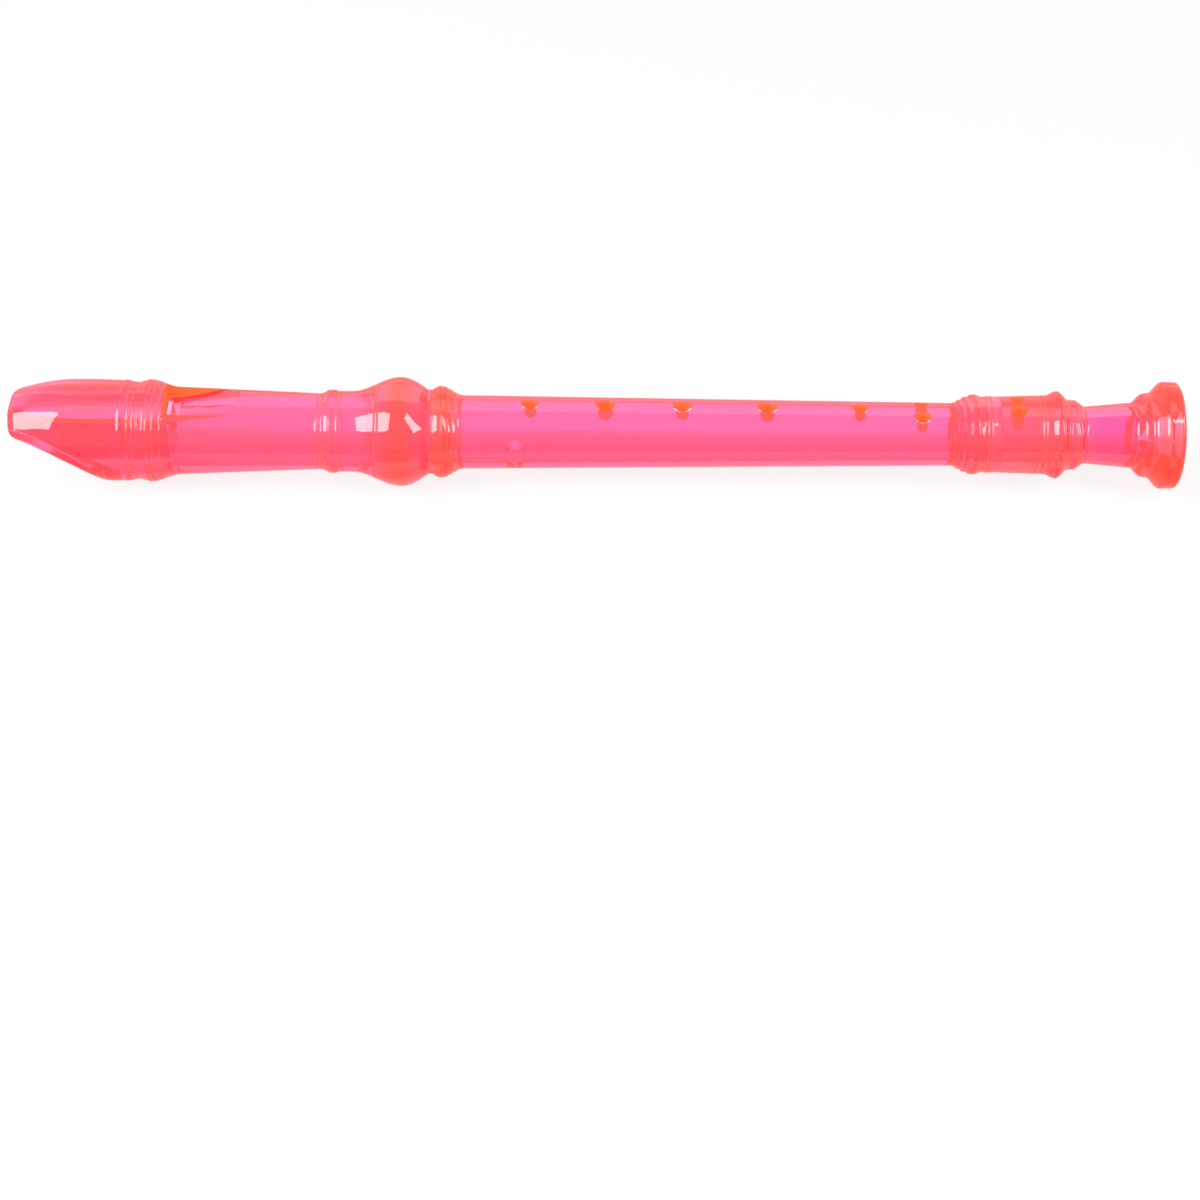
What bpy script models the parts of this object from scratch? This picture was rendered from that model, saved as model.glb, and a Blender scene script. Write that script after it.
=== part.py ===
"""Descant recorder: a head joint with its block, a middle joint and a foot joint.

Metres, +Z up. The bore runs along X, with the beak at -X and the bell at +X.
The window and the finger holes face up and the thumb hole faces down. The
bulge of the head joint rests on Z = 0, and X = 0 is the middle of the length.
Stations are distances along the bore from the tip of the beak.
"""
import math

import bmesh
import bpy

MM = 0.001

# Facets of the turned surfaces, of the holes, and of each moulded curve.
FACETS = 40
HOLE_FACETS = 20
CURVE_STEPS = 4

# Bore, tenons and sockets.
HEAD_BORE_RADIUS = 6.7 * MM
MIDDLE_BORE_TOP_RADIUS = 6.2 * MM
MIDDLE_BORE_END_RADIUS = 4.9 * MM
FOOT_BORE_RADIUS = 5.1 * MM
BELL_MOUTH_RADIUS = 6.6 * MM
MOUTH_FLARE_LENGTH = 22.0 * MM
FIT_CLEARANCE = 0.25 * MM
SEAM_GAP = 0.3 * MM
UPPER_TENON_WALL = 2.4 * MM
UPPER_TENON_LENGTH = 14.5 * MM
UPPER_SOCKET_RELIEF = 0.7 * MM
LOWER_TENON_WALL = 2.7 * MM
LOWER_TENON_LENGTH = 10.2 * MM
LOWER_SOCKET_RELIEF = 3.2 * MM
TENON_LEAD = 0.6 * MM

# Beak: the turned cone is cut from below by a round hollow.
BEAK_LENGTH = 24.0 * MM
BEAK_TIP_NARROWING = 3.1 * MM
BEAK_SWELL_LENGTH = 18.0 * MM
BEAK_HOLLOW_RADIUS = 34.5 * MM
BEAK_HOLLOW_LEAD = 3.6 * MM
LIP_THICKNESS = 1.4 * MM
TIP_ROOF_THICKNESS = 1.7 * MM
BEAK_ROOF_SLOPE = 0.5
TIP_ROUNDING = 2.8 * MM
TIP_NARROW_SHARE = 0.4
TIP_THIN_SHARE = 0.25
EDGE_SHARPNESS = 6

# Windway, block, window and labium ramp.
CHAMBER_STEP = 1.6 * MM
WINDWAY_WIDTH = 11.0 * MM
WINDWAY_ENTRY_HEIGHT = 1.5 * MM
WINDWAY_ENTRY_RISE = 0.55 * MM
WINDWAY_EXIT_HEIGHT = 1.2 * MM
WINDWAY_FLOOR_DROP = 0.55 * MM
BLOCK_CLEARANCE = 0.25 * MM
BLOCK_OVERHANG = 0.9 * MM
WINDOW_SETBACK = 4.9 * MM
WINDOW_LENGTH = 3.9 * MM
LABIUM_EDGE = 0.5 * MM
LABIUM_OFFSET = 0.1 * MM
LABIUM_UNDERCUT = 9.0 * MM
RAMP_ANGLE = math.radians(13.7)
RAMP_SIDE_FLARE = math.radians(22.0)

# Mouldings of the head joint.
COLLAR_WALL = 6.0 * MM
COLLAR_LENGTH = 7.6 * MM
COLLAR_TAPER = 0.27 * MM
COLLAR_GROOVE_RUN = 3.2 * MM
COLLAR_GROOVE_DEPTH = 0.45 * MM
COLLAR_RING_RUN = 3.5 * MM
COLLAR_RING_RISE = 0.72 * MM
COVE_RUN = 9.2 * MM
BARREL_TOP_WALL = 5.4 * MM
BARREL_LENGTH = 38.1 * MM
BARREL_END_WALL = 3.9 * MM
HEAD_RING_RUN = 3.4 * MM
HEAD_RING_HEIGHT = 1.1 * MM
HEAD_RING_FALL_RUN = 2.8 * MM
HEAD_RING_FALL = 0.42 * MM
HEAD_NECK_RUN = 2.8 * MM
BULGE_RISE_RUN = 12.9 * MM
BULGE_HEIGHT = 3.5 * MM
BULGE_FALL_RUN = 8.4 * MM
HEAD_RIM_RUN = 0.9 * MM
HEAD_RIM_WALL = 2.95 * MM

# Mouldings and tube of the middle joint.
UPPER_SHOULDER = 1.65 * MM
LOWER_SHOULDER = 1.16 * MM
BEAD_HEIGHT = 2.6 * MM
BEAD_EDGE_HEIGHT = 1.6 * MM
BEAD_RISE_RUN = 2.4 * MM
BEAD_FALL_RUN = 6.4 * MM
BEAD_TO_HOLE_1 = 19.1 * MM
HOLE_1_TO_2 = 20.4 * MM
HOLE_2_TO_3 = 21.7 * MM
HOLE_3_TO_4 = 23.6 * MM
HOLE_4_TO_5 = 25.7 * MM
HOLE_5_TO_6 = 17.0 * MM
HOLE_6_TO_SHOULDER = 8.6 * MM
THUMB_BEFORE_HOLE_1 = 5.0 * MM

# Holes: width of the countersunk rim and of the hole itself.
HOLE_1_RIM, HOLE_1_WIDTH = 5.0 * MM, 3.2 * MM
HOLE_2_RIM, HOLE_2_WIDTH = 5.4 * MM, 4.0 * MM
HOLE_3_RIM, HOLE_3_WIDTH = 5.6 * MM, 3.4 * MM
HOLE_4_RIM, HOLE_4_WIDTH = 5.7 * MM, 3.9 * MM
HOLE_5_RIM, HOLE_5_WIDTH = 4.5 * MM, 3.0 * MM
HOLE_6_RIM, HOLE_6_WIDTH = 4.6 * MM, 3.3 * MM
HOLE_7_RIM, HOLE_7_WIDTH = 4.4 * MM, 3.2 * MM
THUMB_RIM, THUMB_WIDTH = 5.6 * MM, 4.4 * MM
DOUBLE_HOLE_WEB = 0.9 * MM
COUNTERSINK_DEPTH = 0.8 * MM

# Mouldings of the foot joint.
FOOT_RIM_STEP = 0.04 * MM
FOOT_CONE_RUN = 6.0 * MM
FOOT_CONE_RISE = 2.4 * MM
FOOT_GROOVE_RUN = 2.1 * MM
FOOT_GROOVE_DEPTH = 0.6 * MM
FOOT_BEAD_RUN = 2.0 * MM
FOOT_BEAD_HEIGHT = 0.15 * MM
DRUM_LENGTH = 11.6 * MM
DRUM_TAPER = 0.4 * MM
FOOT_RING_RUN = 5.4 * MM
FOOT_RING_HEIGHT = 1.2 * MM
FOOT_RING_FALL_RUN = 3.7 * MM
NECK_BEAD_HEIGHT = 1.5 * MM
NECK_FALL_RUN = 4.4 * MM
WAIST_WALL = 2.85 * MM
WAIST_LENGTH = 12.4 * MM
WAIST_TAPER = 1.1 * MM
BELL_RING_RUN = 4.4 * MM
BELL_RING_HEIGHT = 2.6 * MM
BELL_SHOULDER_RUN = 4.6 * MM
BELL_SHOULDER_HEIGHT = 3.3 * MM
BELL_SIDE_RUN = 3.3 * MM
BELL_SIDE_TAPER = 0.1 * MM
BELL_EDGE_RADIUS = 0.8 * MM
HOLE_7_BELOW_SOCKET = 4.2 * MM

# Clear overrun of the cutters past the faces that they open.
OVERRUN = 4.0 * MM

PINK = (1.0, 0.16, 0.36, 1.0)
CLEAR_PINK = (1.0, 0.2, 0.4, 1.0)


def eased(kind, share):
    """Part of a radius change that a moulding has reached after a share of its run."""
    if kind == "swell":
        return math.sin(share * math.pi / 2)
    if kind == "fall":
        return 1 - math.cos(share * math.pi / 2)
    if kind == "ogee":
        return (1 - math.cos(share * math.pi)) / 2
    return share


def moulding(start, radius, runs):
    """Points (station, radius) along mouldings, each given as (length, end radius, kind)."""
    points = [(start, radius)]
    for length, end_radius, kind in runs:
        steps = 1 if kind == "line" else CURVE_STEPS
        for step in range(1, steps + 1):
            share = step / steps
            grown = radius + (end_radius - radius) * eased(kind, share)
            points.append((start + length * share, grown))
        start += length
        radius = end_radius
    return points


# Radii that follow from the bore, the walls and the fits.
upper_tenon_radius = MIDDLE_BORE_TOP_RADIUS + UPPER_TENON_WALL
upper_socket_radius = upper_tenon_radius + FIT_CLEARANCE
lower_tenon_radius = MIDDLE_BORE_END_RADIUS + LOWER_TENON_WALL
lower_socket_radius = lower_tenon_radius + FIT_CLEARANCE
chamber_radius = HEAD_BORE_RADIUS + CHAMBER_STEP
collar_radius = chamber_radius + COLLAR_WALL
barrel_top_radius = HEAD_BORE_RADIUS + BARREL_TOP_WALL
barrel_end_radius = HEAD_BORE_RADIUS + BARREL_END_WALL
head_ring_radius = barrel_end_radius + HEAD_RING_HEIGHT
head_neck_radius = head_ring_radius - HEAD_RING_FALL
head_rim_radius = upper_socket_radius + HEAD_RIM_WALL
bulge_radius = head_rim_radius + BULGE_HEIGHT
tube_top_radius = upper_tenon_radius + UPPER_SHOULDER
tube_end_radius = lower_tenon_radius + LOWER_SHOULDER
axis_height = bulge_radius * math.cos(math.pi / FACETS)

# Head joint, from the widest turn behind the beak to the rim of the socket.
collar_end_radius = collar_radius - COLLAR_TAPER
groove_radius = collar_end_radius - COLLAR_GROOVE_DEPTH
ring_radius = groove_radius + COLLAR_RING_RISE
head_moulding = moulding(BEAK_LENGTH, collar_radius, [
    (COLLAR_LENGTH, collar_end_radius, "line"),
    (COLLAR_GROOVE_RUN, groove_radius, "ogee"),
    (COLLAR_RING_RUN, ring_radius, "ogee"),
    (COVE_RUN, barrel_top_radius, "ogee"),
    (BARREL_LENGTH, barrel_end_radius, "line"),
    (HEAD_RING_RUN, head_ring_radius, "ogee"),
    (HEAD_RING_FALL_RUN, head_neck_radius, "ogee"),
    (HEAD_NECK_RUN, head_neck_radius, "line"),
    (BULGE_RISE_RUN, bulge_radius, "ogee"),
    (BULGE_FALL_RUN, head_rim_radius, "fall"),
    (HEAD_RIM_RUN, head_rim_radius, "line"),
])
head_end = head_moulding[-1][0]
ring_station = BEAK_LENGTH + COLLAR_LENGTH + COLLAR_GROOVE_RUN + COLLAR_RING_RUN
windway_exit = ring_station + WINDOW_SETBACK
block_end = windway_exit + BLOCK_OVERHANG
labium_station = windway_exit + WINDOW_LENGTH

# Heights over the bore's axis in the windway and at the labium.
labium_height = HEAD_BORE_RADIUS + LABIUM_OFFSET
exit_floor = HEAD_BORE_RADIUS - WINDWAY_FLOOR_DROP
exit_roof = exit_floor + WINDWAY_EXIT_HEIGHT
entry_floor = exit_floor + WINDWAY_ENTRY_RISE
entry_roof = entry_floor + WINDWAY_ENTRY_HEIGHT
lip_height = entry_floor - LIP_THICKNESS
tip_roof_height = entry_roof + TIP_ROOF_THICKNESS
hollow_centre_height = lip_height - math.sqrt(BEAK_HOLLOW_RADIUS ** 2 - BEAK_HOLLOW_LEAD ** 2)

# Middle joint.
middle_start = head_end + SEAM_GAP
bead_end = middle_start + BEAD_RISE_RUN + BEAD_FALL_RUN
hole_1 = bead_end + BEAD_TO_HOLE_1
hole_2 = hole_1 + HOLE_1_TO_2
hole_3 = hole_2 + HOLE_2_TO_3
hole_4 = hole_3 + HOLE_3_TO_4
hole_5 = hole_4 + HOLE_4_TO_5
hole_6 = hole_5 + HOLE_5_TO_6
thumb_hole = hole_1 - THUMB_BEFORE_HOLE_1
middle_end = hole_6 + HOLE_6_TO_SHOULDER
upper_tenon_end = middle_start - UPPER_TENON_LENGTH
lower_tenon_end = middle_end + LOWER_TENON_LENGTH
upper_socket_bottom = upper_tenon_end - UPPER_SOCKET_RELIEF

# Foot joint.
foot_start = middle_end + SEAM_GAP
foot_rim_radius = tube_end_radius + FOOT_RIM_STEP
foot_cone_radius = foot_rim_radius + FOOT_CONE_RISE
drum_radius = foot_cone_radius - FOOT_GROOVE_DEPTH
foot_bead_radius = drum_radius + FOOT_BEAD_HEIGHT
drum_end_radius = drum_radius + DRUM_TAPER
foot_ring_radius = drum_end_radius + FOOT_RING_HEIGHT
waist_radius = FOOT_BORE_RADIUS + WAIST_WALL
neck_bead_radius = waist_radius + NECK_BEAD_HEIGHT
waist_end_radius = waist_radius + WAIST_TAPER
bell_ring_radius = waist_end_radius + BELL_RING_HEIGHT
bell_radius = bell_ring_radius + BELL_SHOULDER_HEIGHT
foot_moulding = moulding(foot_start, foot_rim_radius, [
    (FOOT_CONE_RUN, foot_cone_radius, "swell"),
    (FOOT_GROOVE_RUN, drum_radius, "ogee"),
    (FOOT_BEAD_RUN, foot_bead_radius, "ogee"),
    (FOOT_BEAD_RUN, drum_radius, "ogee"),
    (DRUM_LENGTH, drum_end_radius, "line"),
    (FOOT_RING_RUN, foot_ring_radius, "ogee"),
    (FOOT_RING_FALL_RUN, neck_bead_radius, "ogee"),
    (NECK_FALL_RUN, waist_radius, "ogee"),
    (WAIST_LENGTH, waist_end_radius, "line"),
    (BELL_RING_RUN, bell_ring_radius, "ogee"),
    (BELL_SHOULDER_RUN, bell_radius, "ogee"),
    (BELL_SIDE_RUN, bell_radius - BELL_SIDE_TAPER, "line"),
    (BELL_EDGE_RADIUS, bell_radius - BELL_SIDE_TAPER - BELL_EDGE_RADIUS, "fall"),
])
foot_end = foot_moulding[-1][0]
lower_socket_bottom = lower_tenon_end + LOWER_SOCKET_RELIEF
hole_7 = lower_socket_bottom + HOLE_7_BELOW_SOCKET
half_length = foot_end / 2


def at(station):
    """World X of a station on the bore."""
    return station - half_length


def collection(name):
    """A new collection under the scene."""
    made = bpy.data.collections.new(name)
    bpy.context.scene.collection.children.link(made)
    return made


def add_object(name, mesh, home):
    """An object for a mesh, linked to one collection."""
    made = bpy.data.objects.new(name, mesh)
    home.objects.link(made)
    return made


def turned(name, outline, closed, facets, home):
    """Outline of (height, radius) points turned about the local Z axis."""
    half_facet = math.pi / facets
    points = [
        (radius * math.cos(half_facet), radius * math.sin(half_facet), height)
        for height, radius in outline
    ]
    edges = [(index, index + 1) for index in range(len(points) - 1)]
    if closed:
        edges.append((len(points) - 1, 0))
    mesh = bpy.data.meshes.new(name)
    mesh.from_pydata(points, edges, [])
    made = add_object(name, mesh, home)
    screw = made.modifiers.new("turn", "SCREW")
    screw.steps = facets
    screw.render_steps = facets
    screw.use_merge_vertices = True
    screw.merge_threshold = 0.000001
    return made


def turned_on_bore(name, outline, closed, seat, home):
    """Outline of (station, radius) points turned about the bore, with its origin at a seat."""
    from_seat = [(station - seat, radius) for station, radius in outline]
    made = turned(name, from_seat, closed, FACETS, home)
    made.location = (at(seat), 0, axis_height)
    made.rotation_euler = (0, math.pi / 2, 0)
    return made


def side_prism(name, outline, width, home):
    """Outline of (station, height over the axis) points, extruded across the bore."""
    curve = bpy.data.curves.new(name, "CURVE")
    curve.dimensions = "2D"
    curve.fill_mode = "BOTH"
    curve.extrude = width / 2
    spline = curve.splines.new("POLY")
    spline.points.add(len(outline) - 1)
    spline.use_cyclic_u = True
    for point, (station, height) in zip(spline.points, outline):
        point.co = (at(station), height + axis_height, 0, 1)
    drawn = add_object(name + "_outline", curve, home)
    drawn.rotation_euler = (math.pi / 2, 0, 0)
    bpy.context.view_layer.update()
    evaluated = drawn.evaluated_get(bpy.context.evaluated_depsgraph_get())
    mesh = bpy.data.meshes.new_from_object(evaluated)
    mesh.transform(drawn.matrix_world)
    bpy.data.objects.remove(drawn)
    shape = bmesh.new()
    shape.from_mesh(mesh)
    bmesh.ops.remove_doubles(shape, verts=shape.verts, dist=0.000001)
    bmesh.ops.recalc_face_normals(shape, faces=shape.faces)
    shape.to_mesh(mesh)
    shape.free()
    return add_object(name, mesh, home)


def bore_cylinder(name, radius, start, end, home):
    """Plain cylinder along the bore between two stations."""
    outline = [(end, 0), (end, radius), (start, radius), (start, 0)]
    return turned_on_bore(name, outline, False, start, home)


def combine(target, tool, operation):
    """Boolean of a target with a tool, which is kept as a hidden wire guide."""
    tool.hide_render = True
    tool.display_type = "WIRE"
    step = target.modifiers.new(tool.name, "BOOLEAN")
    step.operation = operation
    step.object = tool


def settle(piece):
    """Fix the modifiers of a piece into its mesh and shade its round faces smooth."""
    bpy.context.view_layer.update()
    evaluated = piece.evaluated_get(bpy.context.evaluated_depsgraph_get())
    mesh = bpy.data.meshes.new_from_object(evaluated)
    piece.modifiers.clear()
    piece.data = mesh
    mesh.shade_smooth()
    mesh.set_sharp_from_angle(angle=math.radians(40))


def plastic(name, colour):
    """Glossy moulded plastic."""
    material = bpy.data.materials.new(name)
    material.use_nodes = True
    shader = material.node_tree.nodes["Principled BSDF"]
    shader.inputs["Base Color"].default_value = colour
    shader.inputs["Roughness"].default_value = 0.12
    shader.inputs["Metallic"].default_value = 0.0
    shader.inputs["Transmission Weight"].default_value = 0.7
    return material


def hollow_height(station):
    """Height of the beak's round hollow over the axis, far below the head past its end."""
    reach = BEAK_HOLLOW_RADIUS ** 2 - (station + BEAK_HOLLOW_LEAD) ** 2
    if reach <= 0:
        return hollow_centre_height - BEAK_HOLLOW_RADIUS
    return hollow_centre_height + math.sqrt(reach)


def beak_radius(station):
    """Turned radius of the beak before its hollow is cut."""
    share = min(station / BEAK_SWELL_LENGTH, 1)
    return collar_radius - BEAK_TIP_NARROWING * (1 - eased("swell", share))


def soft_least(distances):
    """Least of some distances, with the corner between two of them rounded off."""
    total = sum(distance ** -EDGE_SHARPNESS for distance in distances)
    return total ** (-1 / EDGE_SHARPNESS)


def head_section(station, radius):
    """Points (y, height) round the head: a turned circle, hollowed below and eased off above."""
    low = hollow_height(station)
    high = tip_roof_height + BEAK_ROOF_SLOPE * station
    middle = (max(low, -radius) + min(high, radius)) / 2
    half_height = (min(high, radius) - max(low, -radius)) / 2
    half_width = math.sqrt(radius ** 2 - middle ** 2)
    blunt = max(1 - station / TIP_ROUNDING, 0)
    blunt = 1 - math.sqrt(1 - blunt ** 2)
    points = []
    for facet in range(FACETS):
        turn = 2 * math.pi * (facet + 0.5) / FACETS
        across = half_width * math.sin(turn)
        up = half_height * math.cos(turn)
        span = math.hypot(across, up)
        across /= span
        up /= span
        reach = math.sqrt(radius ** 2 - (middle * across) ** 2) - middle * up
        if station <= BEAK_LENGTH + COLLAR_LENGTH:
            level = high if up > 0 else low
            reach = soft_least([reach, abs((level - middle) / up)])
        y = reach * across * (1 - TIP_NARROW_SHARE * blunt)
        z = middle + reach * up * (1 - TIP_THIN_SHARE * blunt)
        points.append((y, z))
    return points


def head_outside(name, home):
    """Solid outside of the head joint: beak sections and turned mouldings in one loft."""
    tip_stations = [TIP_ROUNDING * eased("fall", step / CURVE_STEPS) for step in range(CURVE_STEPS + 1)]
    beak_steps = 4 * CURVE_STEPS
    beak_run = BEAK_LENGTH - TIP_ROUNDING
    beak_stations = tip_stations + [
        TIP_ROUNDING + beak_run * step / beak_steps for step in range(1, beak_steps)
    ]
    collar_stations = [BEAK_LENGTH + COLLAR_LENGTH * step / CURVE_STEPS for step in range(1, CURVE_STEPS)]
    collar_fall = COLLAR_TAPER / COLLAR_LENGTH
    stations = [(station, beak_radius(station)) for station in beak_stations]
    stations.append(head_moulding[0])
    stations += [
        (station, collar_radius - collar_fall * (station - BEAK_LENGTH)) for station in collar_stations
    ]
    stations += head_moulding[1:]
    shape = bmesh.new()
    rings = []
    for station, radius in stations:
        ring = [
            shape.verts.new((station - head_end, y, z)) for y, z in head_section(station, radius)
        ]
        rings.append(ring)
    for ring, next_ring in zip(rings, rings[1:]):
        for facet in range(FACETS):
            after = (facet + 1) % FACETS
            shape.faces.new((ring[facet], ring[after], next_ring[after], next_ring[facet]))
    shape.faces.new(rings[0])
    shape.faces.new(rings[-1])
    bmesh.ops.recalc_face_normals(shape, faces=shape.faces)
    mesh = bpy.data.meshes.new(name)
    shape.to_mesh(mesh)
    shape.free()
    made = add_object(name, mesh, home)
    made.location = (at(head_end), 0, axis_height)
    return made


def windway_line(station, entry, exit_level):
    """Height of a straight windway wall at a station, from its heights at both ends."""
    return entry + (exit_level - entry) * station / windway_exit


def roof_guide(name, clearance, home):
    """All that lies over the windway's roof, lowered by a clearance."""
    top = collar_radius + OVERRUN
    front = -OVERRUN
    back = block_end + OVERRUN
    outline = [
        (front, windway_line(front, entry_roof, exit_roof) - clearance),
        (back, windway_line(back, entry_roof, exit_roof) - clearance),
        (back, top),
        (front, top),
    ]
    return side_prism(name, outline, 2 * top, home)


def windway_guide(name, home):
    """The windway's slot between floor and roof, open at the beak and at the window."""
    front = -OVERRUN
    back = windway_exit + BLOCK_OVERHANG / 2
    outline = [
        (front, windway_line(front, entry_floor, exit_floor)),
        (back, windway_line(back, entry_floor, exit_floor)),
        (back, windway_line(back, entry_roof, exit_roof)),
        (front, windway_line(front, entry_roof, exit_roof)),
    ]
    return side_prism(name, outline, WINDWAY_WIDTH, home)


def block_channel_guide(name, home):
    """All that lies over the windway's floor, with the bevel at the block's inner end."""
    top = collar_radius + OVERRUN
    front = -OVERRUN
    back = block_end + OVERRUN
    outline = [
        (front, windway_line(front, entry_floor, exit_floor)),
        (windway_exit, exit_floor),
        (back, exit_floor - (back - windway_exit)),
        (back, top),
        (front, top),
    ]
    return side_prism(name, outline, WINDWAY_WIDTH, home)


def window_guide(name, home):
    """The window and the ramp behind its edge, with side walls that flare outwards."""
    top = collar_radius + OVERRUN
    edge = labium_height + LABIUM_EDGE
    ramp_end = labium_station + (top - edge) / math.tan(RAMP_ANGLE)
    outline = [
        (windway_exit, 0),
        (labium_station, 0),
        (labium_station, edge),
        (ramp_end, top),
        (windway_exit, top),
    ]
    made = side_prism(name, outline, WINDWAY_WIDTH, home)
    for vertex in made.data.vertices:
        rise = vertex.co.z - axis_height - edge
        if rise > 0:
            widened = WINDWAY_WIDTH / 2 + rise * math.tan(RAMP_SIDE_FLARE)
            vertex.co.y = math.copysign(widened, vertex.co.y)
    return made


def undercut_guide(name, home):
    """The flat under the labium, which runs out into the round bore."""
    outline = [
        (block_end, 0),
        (labium_station + LABIUM_UNDERCUT, 0),
        (labium_station, HEAD_BORE_RADIUS - LABIUM_EDGE),
        (block_end, HEAD_BORE_RADIUS - LABIUM_EDGE),
    ]
    return side_prism(name, outline, WINDWAY_WIDTH, home)


def head_bore_guide(name, home):
    """The head's bore from the block to the socket, and the socket for the upper tenon."""
    outline = [
        (head_end + OVERRUN, 0),
        (head_end + OVERRUN, upper_socket_radius),
        (upper_socket_bottom, upper_socket_radius),
        (upper_socket_bottom, HEAD_BORE_RADIUS),
        (windway_exit - OVERRUN, HEAD_BORE_RADIUS),
        (windway_exit - OVERRUN, 0),
    ]
    return turned_on_bore(name, outline, False, head_end, home)


def hole_guide(name, station, rim, width, surface, across, below, home):
    """A drilled hole with a countersunk rim, standing on the axis and pointing up or down."""
    level = math.sqrt(surface ** 2 - across ** 2)
    flare = (rim - width) / 2 / COUNTERSINK_DEPTH
    outline = [
        (level + OVERRUN, 0),
        (level + OVERRUN, rim / 2 + flare * OVERRUN),
        (level - COUNTERSINK_DEPTH, width / 2),
        (0, width / 2),
        (0, 0),
    ]
    made = turned(name, outline, False, HOLE_FACETS, home)
    made.location = (at(station), across, axis_height)
    if below:
        made.rotation_euler = (math.pi, 0, 0)
    return made


def tube_radius(station):
    """Radius of the middle joint's straight taper at a station."""
    share = (station - bead_end) / (middle_end - bead_end)
    return tube_top_radius + (tube_end_radius - tube_top_radius) * share


def drum_surface(station):
    """Radius of the foot joint's drum at a station."""
    drum_start = foot_start + FOOT_CONE_RUN + FOOT_GROOVE_RUN + 2 * FOOT_BEAD_RUN
    share = min(max((station - drum_start) / DRUM_LENGTH, 0), 1)
    return drum_radius + DRUM_TAPER * share


def make_head(parts, guides):
    """Head joint: beak, windway roof, window, labium, barrel and socket."""
    head = head_outside("head_joint", parts)
    chamber = bore_cylinder("chamber_guide", chamber_radius, -OVERRUN, block_end + SEAM_GAP, guides)
    combine(chamber, roof_guide("roof_guide", 0, guides), "DIFFERENCE")
    combine(head, head_bore_guide("head_bore_guide", guides), "DIFFERENCE")
    combine(head, chamber, "DIFFERENCE")
    combine(head, windway_guide("windway_guide", guides), "DIFFERENCE")
    combine(head, window_guide("window_guide", guides), "DIFFERENCE")
    combine(head, undercut_guide("undercut_guide", guides), "DIFFERENCE")
    settle(head)
    head.data.materials.append(plastic("head_plastic", PINK))
    return head


def make_block(parts, guides, head):
    """Block: the plug that closes the beak from below and carries the windway's floor."""
    radius = chamber_radius - BLOCK_CLEARANCE
    block = bore_cylinder("block", radius, -OVERRUN, block_end, parts)
    combine(block, roof_guide("block_top_guide", BLOCK_CLEARANCE, guides), "DIFFERENCE")
    combine(block, block_channel_guide("channel_guide", guides), "DIFFERENCE")
    combine(block, head_outside("beak_guide", guides), "INTERSECT")
    settle(block)
    block.data.materials.append(plastic("block_plastic", CLEAR_PINK))
    bpy.context.view_layer.update()
    block.parent = head
    block.matrix_parent_inverse = head.matrix_world.inverted()
    return block


def make_middle(parts, guides):
    """Middle joint: a tapered tube with a tenon at each end, finger holes and thumb hole."""
    outside = moulding(middle_start, tube_top_radius + BEAD_EDGE_HEIGHT, [
        (BEAD_RISE_RUN, tube_top_radius + BEAD_HEIGHT, "swell"),
        (BEAD_FALL_RUN, tube_top_radius, "ogee"),
        (middle_end - bead_end, tube_end_radius, "line"),
    ])
    upper_tenon = [
        (upper_tenon_end, MIDDLE_BORE_TOP_RADIUS),
        (upper_tenon_end, upper_tenon_radius - TENON_LEAD),
        (upper_tenon_end + TENON_LEAD, upper_tenon_radius),
        (middle_start, upper_tenon_radius),
    ]
    lower_tenon = [
        (middle_end, lower_tenon_radius),
        (lower_tenon_end - TENON_LEAD, lower_tenon_radius),
        (lower_tenon_end, lower_tenon_radius - TENON_LEAD),
        (lower_tenon_end, MIDDLE_BORE_END_RADIUS),
    ]
    outline = upper_tenon + outside + lower_tenon
    middle = turned_on_bore("middle_joint", outline[::-1], True, middle_start, parts)
    single_holes = [
        ("hole_1", hole_1, HOLE_1_RIM, HOLE_1_WIDTH, False),
        ("hole_2", hole_2, HOLE_2_RIM, HOLE_2_WIDTH, False),
        ("hole_3", hole_3, HOLE_3_RIM, HOLE_3_WIDTH, False),
        ("hole_4", hole_4, HOLE_4_RIM, HOLE_4_WIDTH, False),
        ("hole_5", hole_5, HOLE_5_RIM, HOLE_5_WIDTH, False),
        ("thumb_hole", thumb_hole, THUMB_RIM, THUMB_WIDTH, True),
    ]
    for name, station, rim, width, below in single_holes:
        surface = tube_radius(station)
        guide = hole_guide(name, station, rim, width, surface, 0, below, guides)
        combine(middle, guide, "DIFFERENCE")
    for side in (-1, 1):
        across = side * (HOLE_6_RIM + DOUBLE_HOLE_WEB) / 2
        surface = tube_radius(hole_6)
        guide = hole_guide(f"hole_6_{side}", hole_6, HOLE_6_RIM, HOLE_6_WIDTH, surface, across, False, guides)
        combine(middle, guide, "DIFFERENCE")
    settle(middle)
    middle.data.materials.append(plastic("middle_plastic", PINK))
    return middle


def make_foot(parts, guides):
    """Foot joint: socket, drum with the double hole, waist and bell."""
    inside = [
        (foot_end, BELL_MOUTH_RADIUS),
        (foot_end - MOUTH_FLARE_LENGTH, FOOT_BORE_RADIUS),
        (lower_socket_bottom, FOOT_BORE_RADIUS),
        (lower_socket_bottom, lower_socket_radius),
        (foot_start, lower_socket_radius),
    ]
    outline = foot_moulding[::-1] + inside[::-1]
    foot = turned_on_bore("foot_joint", outline, True, foot_start, parts)
    for side in (-1, 1):
        across = side * (HOLE_7_RIM + DOUBLE_HOLE_WEB) / 2
        surface = drum_surface(hole_7)
        guide = hole_guide(f"hole_7_{side}", hole_7, HOLE_7_RIM, HOLE_7_WIDTH, surface, across, False, guides)
        combine(foot, guide, "DIFFERENCE")
    settle(foot)
    foot.data.materials.append(plastic("foot_plastic", PINK))
    return foot


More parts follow.
